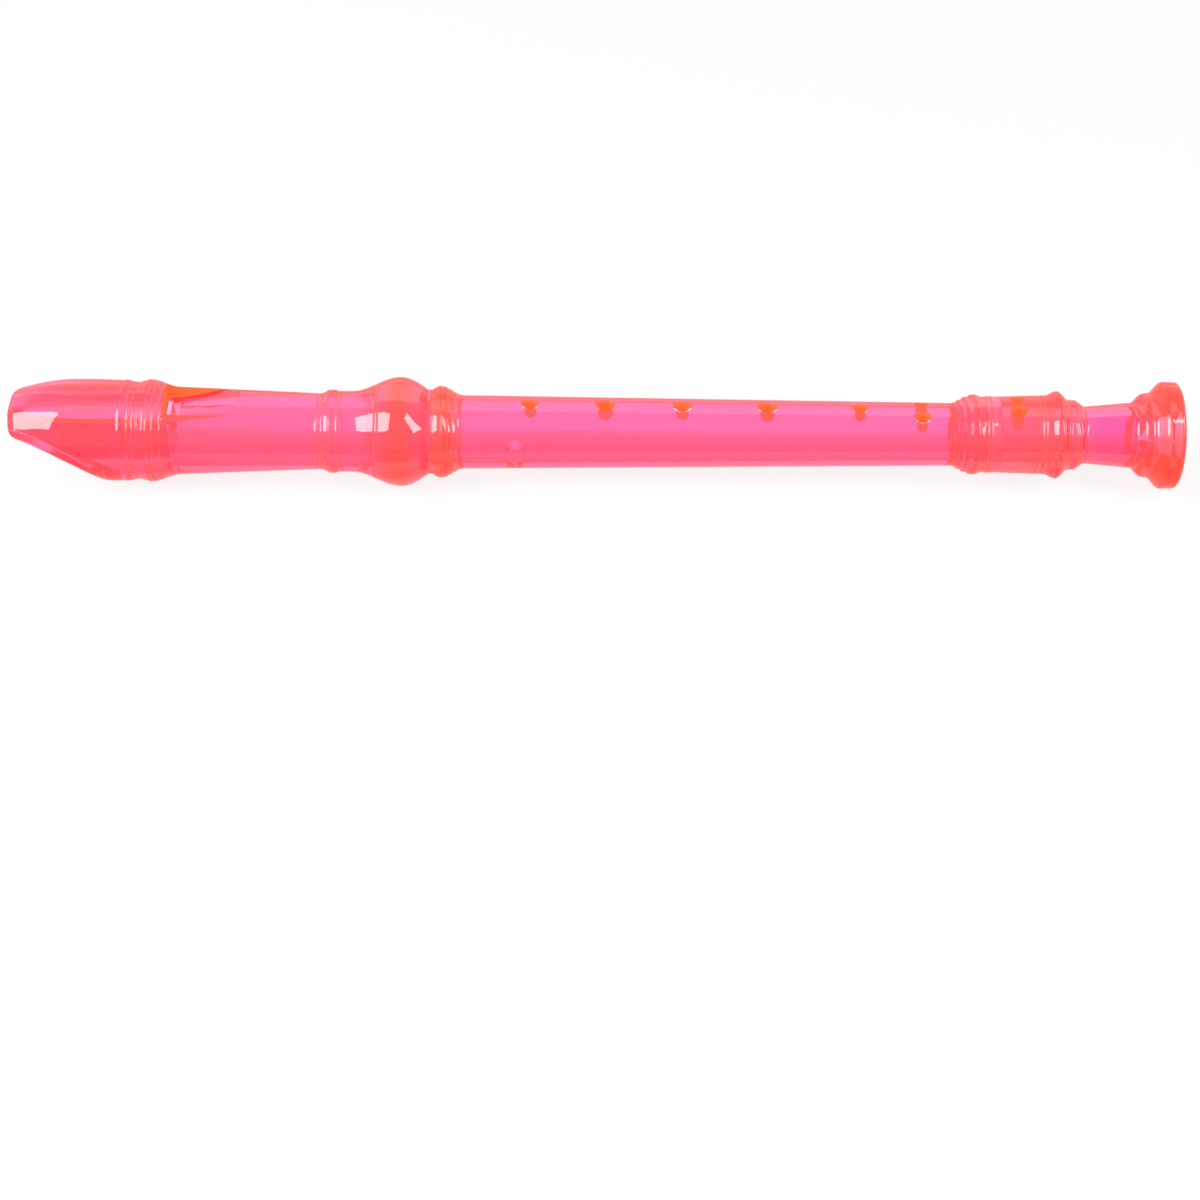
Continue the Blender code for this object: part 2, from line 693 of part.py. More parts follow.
def main():
    """Clear the scene and build the recorder."""
    for leftover in list(bpy.data.objects):
        bpy.data.objects.remove(leftover)
    parts = collection("descant_recorder")
    guides = collection("guides")
    head = make_head(parts, guides)
    make_block(parts, guides, head)
    make_middle(parts, guides)
    make_foot(parts, guides)
    print(f"overall length {foot_end / MM:.1f} mm, bulge width {2 * bulge_radius / MM:.1f} mm")


main()
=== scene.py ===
# %% [markdown]
# # A translucent descant recorder
# The instrument is moulded in clear, fluorescent pink plastic: a head joint with a beak and a
# window, the block that closes the beak, a middle joint with the finger holes and a foot joint
# that ends in a bell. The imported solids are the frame. Their shapes are right but faceted, and
# clear plastic shows every facet twice, once outside and once inside. So each piece is turned
# again here with more facets and with its fine lines, in the same place and at the same size.

# %% Load the frame
import math

import bpy
from mathutils import Matrix, Vector


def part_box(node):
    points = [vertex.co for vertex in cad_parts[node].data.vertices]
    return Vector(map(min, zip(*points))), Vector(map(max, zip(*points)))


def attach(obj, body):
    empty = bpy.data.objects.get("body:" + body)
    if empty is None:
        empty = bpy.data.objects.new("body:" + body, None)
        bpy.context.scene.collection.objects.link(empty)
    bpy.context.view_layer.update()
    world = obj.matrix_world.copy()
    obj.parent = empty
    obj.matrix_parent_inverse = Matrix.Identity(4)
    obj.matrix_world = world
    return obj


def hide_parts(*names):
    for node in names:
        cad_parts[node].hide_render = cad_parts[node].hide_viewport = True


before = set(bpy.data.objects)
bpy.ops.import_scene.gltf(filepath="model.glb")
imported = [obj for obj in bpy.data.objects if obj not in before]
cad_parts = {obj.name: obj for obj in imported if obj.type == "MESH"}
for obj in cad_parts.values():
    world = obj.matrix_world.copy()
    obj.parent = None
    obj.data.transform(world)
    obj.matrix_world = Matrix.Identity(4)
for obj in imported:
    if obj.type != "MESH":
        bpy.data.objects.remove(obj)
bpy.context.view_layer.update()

# %% [markdown]
# ## Where things are
# A turner measures along the work from one end. Here a station is the distance in millimetres
# from the tip of the beak, and a height is measured from the middle of the bore. Both come from
# the frame's own boxes, so the new pieces land on the solids with no fitting.

# %% Stations and heights
MM = 0.001
middle_low, middle_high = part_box("middle_joint")
TIP_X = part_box("head_joint")[0].x
BORE_Z = (middle_low.z + middle_high.z) / 2
BORE_CENTRE = (0, 0, BORE_Z)
BORE_DIRECTION = (1, 0, 0)


def place(station, height, across=0):
    """World place of a station along the bore, a height over it and a distance across it."""
    return Vector((TIP_X + station * MM, across * MM, BORE_Z + height * MM))


print(f"beak tip at x = {TIP_X / MM:.1f} mm, bore at z = {BORE_Z / MM:.2f} mm")

# %% [markdown]
# ## The camera
# The recorder is seen from the front and from well above, with the beak on the left. It lies in
# the upper half of the picture, so the camera aims at a point below it rather than straight at
# it. The nearer half of each ring looks a little larger than the farther half, and that gives
# the distance: about 0.7 m. The picture leans by a third of a degree.

# %% Set up the camera
PICTURE_PIXELS = 1200
MM_PER_PIXEL = 0.28
CAMERA_DISTANCE = 710 * MM
VIEW_ELEVATION = math.radians(42.8)
PICTURE_LEAN = math.radians(0.29)
RECORDER_ROW = 432.5
PICTURE_CENTRE_STATION = 164.15

to_camera = Vector((0, -math.cos(VIEW_ELEVATION), math.sin(VIEW_ELEVATION)))
picture_up = Vector((0, math.sin(VIEW_ELEVATION), math.cos(VIEW_ELEVATION)))
picture_right = Vector((1, 0, 0))
rows_below = (PICTURE_PIXELS / 2 - RECORDER_ROW) * MM_PER_PIXEL * MM
aim = place(PICTURE_CENTRE_STATION, 0) - rows_below * picture_up

bpy.ops.object.select_all(action="DESELECT")
bpy.ops.object.camera_add(location=aim + CAMERA_DISTANCE * to_camera)
camera = bpy.context.active_object
camera.name = "camera"
level = Matrix((picture_right, picture_up, to_camera)).transposed()
camera.rotation_euler = (level @ Matrix.Rotation(PICTURE_LEAN, 3, "Z")).to_euler()
camera.data.angle = 2 * math.atan(PICTURE_PIXELS / 2 * MM_PER_PIXEL * MM / CAMERA_DISTANCE)
bpy.context.scene.camera = camera
print(f"camera field of view {math.degrees(camera.data.angle):.1f} degrees")

# %% [markdown]
# ## The light
# The straight tube shows no highlight at all, but the flanks of the bulge and of every ring do.
# Only lamps to the left and to the right of the camera can do that, because the tube's normals
# have no sideways part. So two soft panels stand on both sides of the view, a little above it.
# The left one stands on a corner, which gives the highlights their pointed ends.

# %% Two soft panels
PANEL_DISTANCE = 0.9
PANEL_RADIANCE = 9.5
PANELS = {
    "left_panel": (-50, 17, 0.54, 0.54, 45),
    "right_panel": (45, 17, 0.24, 0.64, 0),
}

for name, (aside, above, width, height, roll) in PANELS.items():
    aside = math.radians(aside)
    above = math.radians(above)
    sideways = math.cos(aside) * to_camera + math.sin(aside) * picture_right
    direction = math.cos(above) * sideways + math.sin(above) * picture_up
    bpy.ops.object.light_add(type="AREA", location=aim + PANEL_DISTANCE * direction)
    panel = bpy.context.active_object
    panel.name = name
    facing = direction.to_track_quat("Z", "Y").to_matrix()
    panel.rotation_euler = (facing @ Matrix.Rotation(math.radians(roll), 3, "Z")).to_euler()
    panel.data.shape = "RECTANGLE"
    panel.data.size = width
    panel.data.size_y = height
    panel.data.energy = PANEL_RADIANCE * math.pi * width * height
    panel.visible_transmission = False
    print(name, f"{panel.data.energy:.1f} W")

# %% [markdown]
# ## Small helpers for node trees
# A material is a tree of nodes, and most trees use the same few: a calculation, a mix of two
# colours, a range mapped to another. Each helper adds one such node and hands back its result,
# so that a finish can be read like a formula. A plain value goes straight into the socket.

# %% Helpers for nodes
def start_material(name):
    """A new material, its node tree and its shader."""
    made = bpy.data.materials.new(name)
    made.use_nodes = True
    return made, made.node_tree, made.node_tree.nodes["Principled BSDF"]


def feed(tree, source, socket):
    """Link a source to a socket, or set the socket where the source is a plain value."""
    if isinstance(source, bpy.types.NodeSocket):
        tree.links.new(source, socket)
    else:
        socket.default_value = source


def number(tree, operation, first, second=0.0, third=0.0, clamp=False):
    """The result of a calculation with up to three numbers."""
    node = tree.nodes.new("ShaderNodeMath")
    node.operation = operation
    node.use_clamp = clamp
    for socket, source in zip(node.inputs, (first, second, third)):
        feed(tree, source, socket)
    return node.outputs["Value"]


def blend(tree, share, first, second):
    """A colour between two colours."""
    node = tree.nodes.new("ShaderNodeMix")
    node.data_type = "RGBA"
    feed(tree, share, node.inputs["Factor"])
    feed(tree, first, node.inputs["A"])
    feed(tree, second, node.inputs["B"])
    return node.outputs["Result"]


def mapped(tree, value, start, end, low=0.0, high=1.0, smooth=False):
    """A value taken from the range start to end to the range low to high."""
    node = tree.nodes.new("ShaderNodeMapRange")
    if smooth:
        node.interpolation_type = "SMOOTHSTEP"
    sockets = ("Value", "From Min", "From Max", "To Min", "To Max")
    for socket, source in zip(sockets, (value, start, end, low, high)):
        feed(tree, source, node.inputs[socket])
    return node.outputs["Result"]


print("node helpers ready")

# %% [markdown]
# Patterns need a place to start from. Every finished piece sits at the origin, so its Object
# coordinates are the places on the recorder, and a pattern stays on its piece when a joint moves.

# %% Helpers for patterns
def object_place(tree):
    """The place of a point in the piece's own coordinates."""
    return tree.nodes.new("ShaderNodeTexCoord").outputs["Object"]


def noise(tree, where, scale, detail):
    """A cloudy pattern of numbers."""
    node = tree.nodes.new("ShaderNodeTexNoise")
    feed(tree, where, node.inputs["Vector"])
    feed(tree, scale, node.inputs["Scale"])
    feed(tree, detail, node.inputs["Detail"])
    return node.outputs["Fac"]


def relief(tree, height, strength, depth, base=None):
    """A normal that follows a pattern of heights, over another relief if there is one."""
    node = tree.nodes.new("ShaderNodeBump")
    feed(tree, height, node.inputs["Height"])
    feed(tree, strength, node.inputs["Strength"])
    feed(tree, depth, node.inputs["Distance"])
    if base is not None:
        feed(tree, base, node.inputs["Normal"])
    return node.outputs["Normal"]


def face_mark(tree, name):
    """A number that is kept on the faces of a piece."""
    node = tree.nodes.new("ShaderNodeAttribute")
    node.attribute_name = name
    return node.outputs["Fac"]


print("pattern helpers ready")

# %% [markdown]
# ## The white surroundings
# The background is plain white. Clear plastic takes most of its look from what stands behind
# it, so the floor and the world have to be white for the rays that pass through it, too. Light
# Path tells these rays apart: what the camera sees, directly or through the plastic, is white
# at strength 1. The world lights the rest with less, so that the panels still model the shape.

# %% World
WHITE = (1, 1, 1, 1)
WORLD_FILL = 0.3
MOST_BOUNCES = 32
MIRROR_BOUNCES = 16


def seen_rays(tree):
    """A number that is 1 on camera, glossy and transmission rays and 0 on the rest."""
    path = tree.nodes.new("ShaderNodeLightPath").outputs
    either = number(tree, "MAXIMUM", path["Is Camera Ray"], path["Is Glossy Ray"])
    return number(tree, "MAXIMUM", either, path["Is Transmission Ray"])


world = bpy.data.worlds.new("white_room")
world.use_nodes = True
bpy.context.scene.world = world
sky = world.node_tree
background = sky.nodes["Background"]
background.inputs["Color"].default_value = WHITE
strength = mapped(sky, seen_rays(sky), 0.0, 1.0, WORLD_FILL, 1.0)
feed(sky, strength, background.inputs["Strength"])

view = bpy.context.scene.view_settings
view.view_transform = "Standard"
cycles = bpy.context.scene.cycles
cycles.max_bounces = MOST_BOUNCES
cycles.transmission_bounces = MOST_BOUNCES
cycles.glossy_bounces = MIRROR_BOUNCES
print("world is set, with fill", WORLD_FILL)

# %% [markdown]
# ## The floor
# The floor is white in the same way, but it keeps a part of its own shading, with the soft
# shadow. Light that has passed through the recorder falls pink on the floor under it. That pink
# strip is what makes the lower half of the tube redder, so it is painted for the rays that have
# come through the plastic. And the lower half mirrors the floor in front of it, which reaches
# less far in a real room than here, so in reflections the floor is dimmer, and pink from the
# light on it.

# %% Floor
FLOOR_SIZE = 30.0
FLOOR_COLOUR = (0.95, 0.95, 0.95, 1)
FLOOR_ROUGHNESS = 0.7
FLOOR_SPECULAR = 0.2
FLOOR_GLOW_SHARE = 0.85
STRIP_PINK = (1.0, 0.46, 0.38, 1)
STRIP_NEAR = 12 * MM
STRIP_FAR = 26 * MM
MIRRORED_FLOOR = (0.95, 0.5, 0.5, 1)

floor_white, tree, matt = start_material("floor_white")
matt.inputs["Base Color"].default_value = FLOOR_COLOUR
matt.inputs["Roughness"].default_value = FLOOR_ROUGHNESS
matt.inputs["Specular IOR Level"].default_value = FLOOR_SPECULAR

apart = tree.nodes.new("ShaderNodeSeparateXYZ")
feed(tree, object_place(tree), apart.inputs["Vector"])
aside = number(tree, "ABSOLUTE", apart.outputs["Y"])
strip = mapped(tree, aside, STRIP_FAR, STRIP_NEAR, smooth=True)
path = tree.nodes.new("ShaderNodeLightPath").outputs
passed = path["Is Transmission Ray"]
bounced = number(tree, "SUBTRACT", path["Is Glossy Ray"], passed, clamp=True)
under = blend(tree, number(tree, "MULTIPLY", strip, passed), WHITE, STRIP_PINK)
glow = tree.nodes.new("ShaderNodeEmission")
feed(tree, blend(tree, bounced, under, MIRRORED_FLOOR), glow.inputs["Color"])
mix = tree.nodes.new("ShaderNodeMixShader")
feed(tree, number(tree, "MULTIPLY", seen_rays(tree), FLOOR_GLOW_SHARE), mix.inputs["Fac"])
feed(tree, matt.outputs["BSDF"], mix.inputs[1])
feed(tree, glow.outputs["Emission"], mix.inputs[2])
feed(tree, mix.outputs["Shader"], tree.nodes["Material Output"].inputs["Surface"])

bpy.ops.object.select_all(action="DESELECT")
bpy.ops.mesh.primitive_plane_add(size=FLOOR_SIZE, location=(0, 0, 0))
floor = bpy.context.active_object
floor.name = "floor"
floor.data.materials.append(floor_white)
print("floor is set:", FLOOR_SIZE, "m wide")

# %% [markdown]
# ## The plastic: tint and glow
# Fluorescent plastic is clear, but it looks as if it were lit from inside. Three things make
# that look. Each surface tints what passes it: pink on the thin tube and orange on the rings and
# the bell, which stand farther out from the bore. The plastic takes away more colour with depth.
# And the dye sends out a little orange light, which is painted: a faint emission that stands in
# for the fluorescence. A face attribute, line_glow, marks fine turned lines, where more of this
# painted glow comes out and the tint is a deeper orange. Another, inside, marks the bore and the
# sockets, which tint less.

# %% Tint and glow
PINK = (1.0, 0.26, 0.82, 1)
INSIDE_PINK = (1.0, 0.62, 0.76, 1)
HEAD_INSIDE_PINK = (1.0, 0.6, 0.66, 1)
FOOT_INSIDE_PINK = (1.0, 0.45, 0.66, 1)
ORANGE = (1.0, 0.28, 0.30, 1)
# Painted shade: the block's deeper red stands in for the dark zone of block and chamber in the
# lower beak.
BLOCK_PAINTED_SHADE_RED = (0.74, 0.1, 0.18, 1)
# Painted glow: a faint emission over all the plastic, and a stronger one on the fine lines,
# stands in for the dye's fluorescence.
PAINTED_DYE_GLOW = (1.0, 0.16, 0.08, 1)
PAINTED_DYE_GLOW_STRENGTH = 0.05
LINE_TINT = (1.0, 0.10, 0.012, 1)
PAINTED_LINE_GLOW = (1.0, 0.13, 0.035, 1)
PAINTED_LINE_GLOW_STRENGTH = 0.5
ACROSS_BORE = (0, 1, 1)


def distance_from_bore(tree):
    """How far a point is from the bore's axis."""
    result = object_place(tree)
    for operation, value in (("SUBTRACT", BORE_CENTRE), ("MULTIPLY", ACROSS_BORE)):
        node = tree.nodes.new("ShaderNodeVectorMath")
        node.operation = operation
        feed(tree, result, node.inputs[0])
        feed(tree, value, node.inputs[1])
        result = node.outputs["Vector"]
    length = tree.nodes.new("ShaderNodeVectorMath")
    length.operation = "LENGTH"
    feed(tree, result, length.inputs[0])
    return length.outputs["Value"]


def tint_and_glow(tree, shader, thick, thick_tint, inside_tint):
    """Pink where thin, another tint where thick or inside, a faint painted glow, and more on
    turned lines.
    """
    line = face_mark(tree, "line_glow")
    outside = blend(tree, thick, PINK, thick_tint)
    colour = blend(tree, face_mark(tree, "inside"), outside, inside_tint)
    feed(tree, blend(tree, line, colour, LINE_TINT), shader.inputs["Base Color"])
    feed(tree, blend(tree, line, PAINTED_DYE_GLOW, PAINTED_LINE_GLOW), shader.inputs["Emission Color"])
    power = mapped(tree, line, 0.0, 1.0, PAINTED_DYE_GLOW_STRENGTH, PAINTED_LINE_GLOW_STRENGTH)
    feed(tree, power, shader.inputs["Emission Strength"])


print("tints ready")

# %% [markdown]
# ## The plastic: surface
# A very soft waviness, and fine streaks along the tube where the plastic flowed into the mould,
# keep the surface from looking computed. The streaks are a noise that is stretched along the
# bore. They change the roughness as well as the relief.

# %% Surface
STREAKS_PER_M = (60, 900, 900)
STREAK_DETAIL = 4.0
STREAK_SPREAD = (0.3, 0.75)
STREAK_ROUGHNESS = (0.015, 0.05)
STREAK_STRENGTH = 0.25
STREAK_DEPTH = 0.1 * MM
THICK_HAZE = 0.04
WAVE_DETAIL = 2.0
WAVE_DEPTH = 0.3 * MM


def flow_marks(tree, shader, thick, waves_per_m, waviness):
    """Streaks along the tube over soft waves, and a little haze where it is thick."""
    where = object_place(tree)
    stretched = tree.nodes.new("ShaderNodeMapping")
    feed(tree, where, stretched.inputs["Vector"])
    stretched.inputs["Scale"].default_value = STREAKS_PER_M
    streaks = noise(tree, stretched.outputs["Vector"], 1.0, STREAK_DETAIL)
    rough = mapped(tree, streaks, *STREAK_SPREAD, *STREAK_ROUGHNESS)
    hazy = number(tree, "MULTIPLY_ADD", thick, THICK_HAZE, rough)
    feed(tree, hazy, shader.inputs["Roughness"])
    waves = relief(tree, noise(tree, where, waves_per_m, WAVE_DETAIL), waviness, WAVE_DEPTH)
    surface = relief(tree, streaks, STREAK_STRENGTH, STREAK_DEPTH, waves)
    feed(tree, surface, shader.inputs["Normal"])


print("surface ready")

# %% [markdown]
# ## The four plastics
# One clear material must cover all that a ray can cross, because the depth is counted from where
# a ray enters the plastic to where it leaves. The joints differ in the radius at which the pink
# turns to orange and in the tint of their insides. The block is tinted a deeper red, which is
# painted shade for the dark zone of block and chamber in the lower beak, and its uneven surface
# shows through the clear beak.

# %% Make the plastics
PLASTIC_IOR = 1.5
PLASTIC_CLEARNESS = 0.96
PLASTIC_SPECULAR = 0.9
POLISH = 0.2
POLISH_ROUGHNESS = 0.03
DEPTH_COLOUR = (0.98, 0.4, 0.2, 1)
DEPTH_DENSITY = 70.0
JOINT_WAVES, JOINT_WAVINESS = 90, 0.1
BLOCK_WAVES, BLOCK_WAVINESS = 350, 1.0


def fluorescent_plastic(name, thin_radius, thick_radius, thick_tint=ORANGE,
                        inside_tint=INSIDE_PINK, waves_per_m=JOINT_WAVES,
                        waviness=JOINT_WAVINESS):
    """Clear plastic, pink where thin and orange where thick, with orange turned lines."""
    made, tree, shader = start_material(name)
    shader.inputs["Metallic"].default_value = 0.0
    shader.inputs["IOR"].default_value = PLASTIC_IOR
    shader.inputs["Transmission Weight"].default_value = PLASTIC_CLEARNESS
    shader.inputs["Specular IOR Level"].default_value = PLASTIC_SPECULAR
    shader.inputs["Coat Weight"].default_value = POLISH
    shader.inputs["Coat Roughness"].default_value = POLISH_ROUGHNESS
    radius = distance_from_bore(tree)
    thick = mapped(tree, radius, thin_radius * MM, thick_radius * MM, smooth=True)
    tint_and_glow(tree, shader, thick, thick_tint, inside_tint)
    flow_marks(tree, shader, thick, waves_per_m, waviness)
    depth = tree.nodes.new("ShaderNodeVolumeAbsorption")
    depth.inputs["Color"].default_value = DEPTH_COLOUR
    depth.inputs["Density"].default_value = DEPTH_DENSITY
    feed(tree, depth.outputs["Volume"], tree.nodes["Material Output"].inputs["Volume"])
    return made


head_plastic = fluorescent_plastic(
    "clear_pink_head", 13.8, 15.4, inside_tint=HEAD_INSIDE_PINK
)
block_plastic = fluorescent_plastic(
    "clear_pink_block", 5.0, 8.0, BLOCK_PAINTED_SHADE_RED, waves_per_m=BLOCK_WAVES, waviness=BLOCK_WAVINESS
)
middle_plastic = fluorescent_plastic("clear_pink_middle", 10.4, 12.6)
foot_plastic = fluorescent_plastic("clear_pink_foot", 5.6, 15.0, inside_tint=FOOT_INSIDE_PINK)
print("plastics:", head_plastic.name, block_plastic.name, middle_plastic.name, foot_plastic.name)

# %% [markdown]
# ## Cut walls
# Fluorescent plastic gathers light and sends it out at its cut edges. So the walls of the holes,
# of the window and of the windway look solid orange, even when they are seen through the plastic
# in front of them. They get an opaque material that glows: a painted glow that stands in for that
# light. No ray crosses it, so it doesn't upset the counting of the depth. The bevel at the end of
# the block gets a paler painted glint, for its reflection of the right panel, and so does the
# near edge of a finger hole's rim, which catches the light.

# %% Opaque walls
# Painted glow: the cut walls are opaque and glow orange by emission, standing in for the light
# the plastic sends out at its edges.
EDGE_COLOUR = (0.7, 0.05, 0.015, 1)
EDGE_GLOW = (1.0, 0.11, 0.024, 1)
EDGE_GLOW_STRENGTH = 0.85
# Painted glint: a pale, glowing colour on the block's bevel, standing in for its reflection of
# the right panel.
BEVEL_GLINT_COLOUR = (1.0, 0.6, 0.74, 1)
BEVEL_GLINT_STRENGTH = 0.2
# Painted highlight: the pale, glowing near edge of a finger hole's rim, where it catches the
# light.
RIM_GLINT_COLOUR = (1.0, 0.52, 0.62, 1)
RIM_GLINT_STRENGTH = 0.42
WALL_SPECULAR = 0.15
WALL_ROUGHNESS = (0.45, 0.7)
WALL_DETAIL = 3.0
CLOUDS_PER_M = 220.0
CLOUD_GREEN, CLOUD_BLUE = 1.35, 2.2
GRAINS_PER_M = 1500.0
GRAIN_STRENGTH = 0.1
GRAIN_DEPTH = 0.1 * MM


def sawn_wall(name, colour, glow, strength):
    """An opaque, softly grained wall with a painted glow that is a little uneven."""
    made, tree, shader = start_material(name)
    shader.inputs["Base Color"].default_value = colour
    shader.inputs["Specular IOR Level"].default_value = WALL_SPECULAR
    shader.inputs["Emission Strength"].default_value = strength
    where = object_place(tree)
    clouds = noise(tree, where, CLOUDS_PER_M, WALL_DETAIL)
    paler = (glow[0], glow[1] * CLOUD_GREEN, glow[2] * CLOUD_BLUE, 1)
    feed(tree, blend(tree, clouds, glow, paler), shader.inputs["Emission Color"])
    grain = noise(tree, where, GRAINS_PER_M, WALL_DETAIL)
    feed(tree, mapped(tree, grain, 0.0, 1.0, *WALL_ROUGHNESS), shader.inputs["Roughness"])
    feed(tree, relief(tree, grain, GRAIN_STRENGTH, GRAIN_DEPTH), shader.inputs["Normal"])
    return made


edge_wall = sawn_wall("edge_wall", EDGE_COLOUR, EDGE_GLOW, EDGE_GLOW_STRENGTH)
painted_bevel_glint = sawn_wall("painted_bevel_glint", BEVEL_GLINT_COLOUR, BEVEL_GLINT_COLOUR, BEVEL_GLINT_STRENGTH)
painted_rim_glint = sawn_wall("painted_rim_glint", RIM_GLINT_COLOUR, RIM_GLINT_COLOUR, RIM_GLINT_STRENGTH)
print("walls:", edge_wall.name, painted_bevel_glint.name, painted_rim_glint.name)

# %% [markdown]
# ## Drawing an outline and turning it
# All the joints are turned shapes, so they are made as on a lathe. A plane is merged to one
# point, the point is extruded along the outline, and Spin carries the outline round the bore.
# Extruding a circle ring by ring would do as well, but an outline is easier to read and change.

# %% Draw an outline
MERGE = 0.000001


def start_point(name, point):
    """A new object that is a single point, in edit mode, to draw on from."""
    if bpy.context.mode != "OBJECT":
        bpy.ops.object.mode_set(mode="OBJECT")
    bpy.ops.object.select_all(action="DESELECT")
    bpy.ops.mesh.primitive_plane_add(size=MM, enter_editmode=True, location=(0, 0, 0))
    made = bpy.context.active_object
    made.name = name
    made.data.name = name
    bpy.ops.mesh.merge(type="CENTER")
    bpy.ops.transform.translate(value=point)
    return made


def draw_line(name, points):
    """A chain of edges through some points, made by extruding one point to the next."""
    made = start_point(name, points[0])
    for before, after in zip(points, points[1:]):
        bpy.ops.mesh.extrude_vertices_move(TRANSFORM_OT_translate={"value": after - before})
    bpy.ops.mesh.select_all(action="SELECT")
    return made


def close_up():
    """Merge what coincides, turn the faces outwards and leave edit mode."""
    bpy.ops.mesh.select_all(action="SELECT")
    bpy.ops.mesh.remove_doubles(threshold=MERGE)
    bpy.ops.mesh.normals_make_consistent(inside=False)
    bpy.ops.object.mode_set(mode="OBJECT")


print("outlines are drawn point by point, and merged at", MERGE, "m")

# %% [markdown]
# A round piece is spun from its outline. A flat cutter, such as the windway's, has an outline
# seen from the side: it is filled with one face, and Extrude pulls the face across the bore.

# %% Turn it, or pull it across
TURNED_FACETS = 128


def turn_on_bore(name, outline):
    """An outline of (station, radius) points, spun round the bore."""
    made = draw_line(name, [place(station, radius) for station, radius in outline])
    bpy.ops.mesh.spin(
        steps=TURNED_FACETS, angle=2 * math.pi, center=BORE_CENTRE, axis=BORE_DIRECTION
    )
    close_up()
    return made


def draw_slab(name, outline, width):
    """A side outline of (station, height) points, filled and pulled across the bore."""
    points = [place(station, height, -width / 2) for station, height in outline]
    made = draw_line(name, points + points[:1])
    bpy.ops.mesh.remove_doubles(threshold=MERGE)
    bpy.ops.mesh.edge_face_add()
    bpy.ops.mesh.extrude_region_move(TRANSFORM_OT_translate={"value": (0, width * MM, 0)})
    close_up()
    return made


print("lathe ready:", TURNED_FACETS, "facets")

# %% [markdown]
# ## Mouldings
# Mouldings are given as runs: how long each is, the radius it ends at, and its curve. A straight
# run gets an extra loop close to each end. Smooth shading blends the normals between two loops,
# and without these a highlight would be smeared along the whole straight run.

# %% Mouldings
CURVE_STEPS = 12
END_LOOP = 0.25
CURVES = {
    "line": lambda share: share,
    "swell": lambda share: math.sin(share * math.pi / 2),
    "fall": lambda share: 1 - math.cos(share * math.pi / 2),
    "ogee": lambda share: (1 - math.cos(share * math.pi)) / 2,
}


def mouldings(station, radius, runs):
    """Points (station, radius) along runs of (length, end radius, curve)."""
    points = [(station, radius)]
    for length, end, curve in runs:
        shares = [(step + 1) / CURVE_STEPS for step in range(CURVE_STEPS)]
        if curve == "line":
            loop = END_LOOP / length
            shares = [loop, 1 - loop, 1] if length > 3 * END_LOOP else [1]
        for share in shares:
            bent = CURVES[curve](share)
            points.append((station + length * share, radius + (end - radius) * bent))
        station += length
        radius = end
    return points


def radius_at(outline, station):
    """Radius of an outline at a station, straight between its points."""
    for (before, low), (after, high) in zip(outline, outline[1:]):
        if before <= station <= after and after > before:
            return low + (high - low) * (station - before) / (after - before)
    return outline[-1][1]


print("curves of the mouldings:", ", ".join(CURVES))

# %% [markdown]
# Fine lines run round the rings. They could be a bump in the material, but clear plastic shows
# their true shape at its edge, so each is turned into the outline as a small round groove.

# %% Fine lines
LINE_WIDTH = 0.55
LINE_DEPTH = 0.16
LINE_HALF_STEPS = 3


def score(outline, stations):
    """The outline with a fine round line turned into it at each of some stations."""
    for station in stations:
        groove = []
        for step in range(2 * LINE_HALF_STEPS + 1):
            along = (step / LINE_HALF_STEPS - 1) * LINE_WIDTH / 2
            dip = LINE_DEPTH * math.cos(along / LINE_WIDTH * math.pi) ** 2
            groove.append((station + along, radius_at(outline, station + along) - dip))
        first = groove[0][0]
        last = groove[-1][0]
        groove.insert(0, (first - END_LOOP / 2, radius_at(outline, first - END_LOOP / 2)))
        groove.append((last + END_LOOP / 2, radius_at(outline, last + END_LOOP / 2)))
        before = [point for point in outline if point[0] < groove[0][0]]
        after = [point for point in outline if point[0] > groove[-1][0]]
        outline = before + groove + after
    return outline


print("fine lines are", LINE_WIDTH, "mm wide and", LINE_DEPTH, "mm deep")

# %% [markdown]
# ## Marking and cutting
# Holes, windway and window are cut with Boolean modifiers, as a drill or a file would. A cutter
# hands its material slot on to the faces that it cuts, so slots can carry marks through all the
# cuts: what is clear, a cut wall, a fine line, the inside or a rim with a painted highlight.

# %% Marks
SQUARE = 0.99
SIDEWAYS = 0.5
CLEAR, WALL, LINE, INSIDE, RIM = range(5)
MATERIAL_OF_MARK = {CLEAR: 0, LINE: 0, INSIDE: 0, WALL: 1, RIM: 2}


def mark(tool, choose):
    """Give a tool or a piece a slot for every mark, and mark each face as chosen."""
    for slot in MATERIAL_OF_MARK:
        tool.data.materials.append(None)
    for face in tool.data.polygons:
        face.material_index = choose(face)


def station_of(face):
    """Station of the middle of a face."""
    return (face.center.x - TIP_X) / MM


def looks_out(face):
    """Whether a face looks away from the bore."""
    return face.normal.y * face.center.y + face.normal.z * (face.center.z - BORE_Z) > 0


def mark_lines(piece, stations):
    """Mark the outer faces of the fine lines at some stations."""
    for face in piece.data.polygons:
        apart = min(abs(station_of(face) - line) for line in stations)
        if looks_out(face) and apart < LINE_WIDTH / 2:
            face.material_index = LINE


print(len(MATERIAL_OF_MARK), "marks for faces")

# %% [markdown]
# A Boolean leaves points that nearly coincide, and in clear plastic they show as specks. So every
# cut is applied at once, and its doubles are merged.

# %% Cuts
CUT_MERGE = 0.000003


